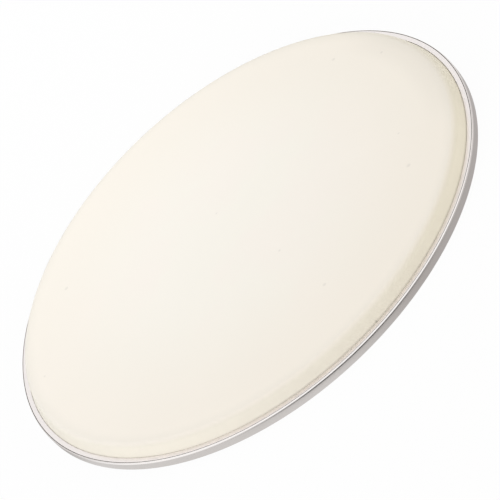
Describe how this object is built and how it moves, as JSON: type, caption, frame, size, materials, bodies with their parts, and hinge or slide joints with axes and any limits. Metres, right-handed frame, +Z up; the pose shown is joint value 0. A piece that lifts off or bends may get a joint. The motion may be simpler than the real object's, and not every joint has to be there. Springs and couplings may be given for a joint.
{
  "type": "drum head",
  "caption": "Round drum head: a cream film with a raised playing face and sloping collar, its edge locked in a thin aluminium hoop that drops over a drum shell.",
  "frame": {"origin": "centre of the hoop's base, on the head's axis", "axes": "+Z up the head's axis, from the hoop's base through the playing film; +X and +Y lie in the base plane"},
  "size_m": [0.5766, 0.5766, 0.0237],
  "materials": {
    "film": "cream polyester film with a fine matt coating",
    "hoop_metal": "mill-finished extrusion, satin with a bright lip",
    "clamp_metal": "pale satin",
    "wire_steel": "drawn wire"
  },
  "bodies": {
    "root": {"playing_film": "film", "hoop_channel": "hoop_metal", "clamp_ring": "clamp_metal", "core_wire": "wire_steel", "joint_splice": "hoop_metal"}
  },
  "joints": []
}
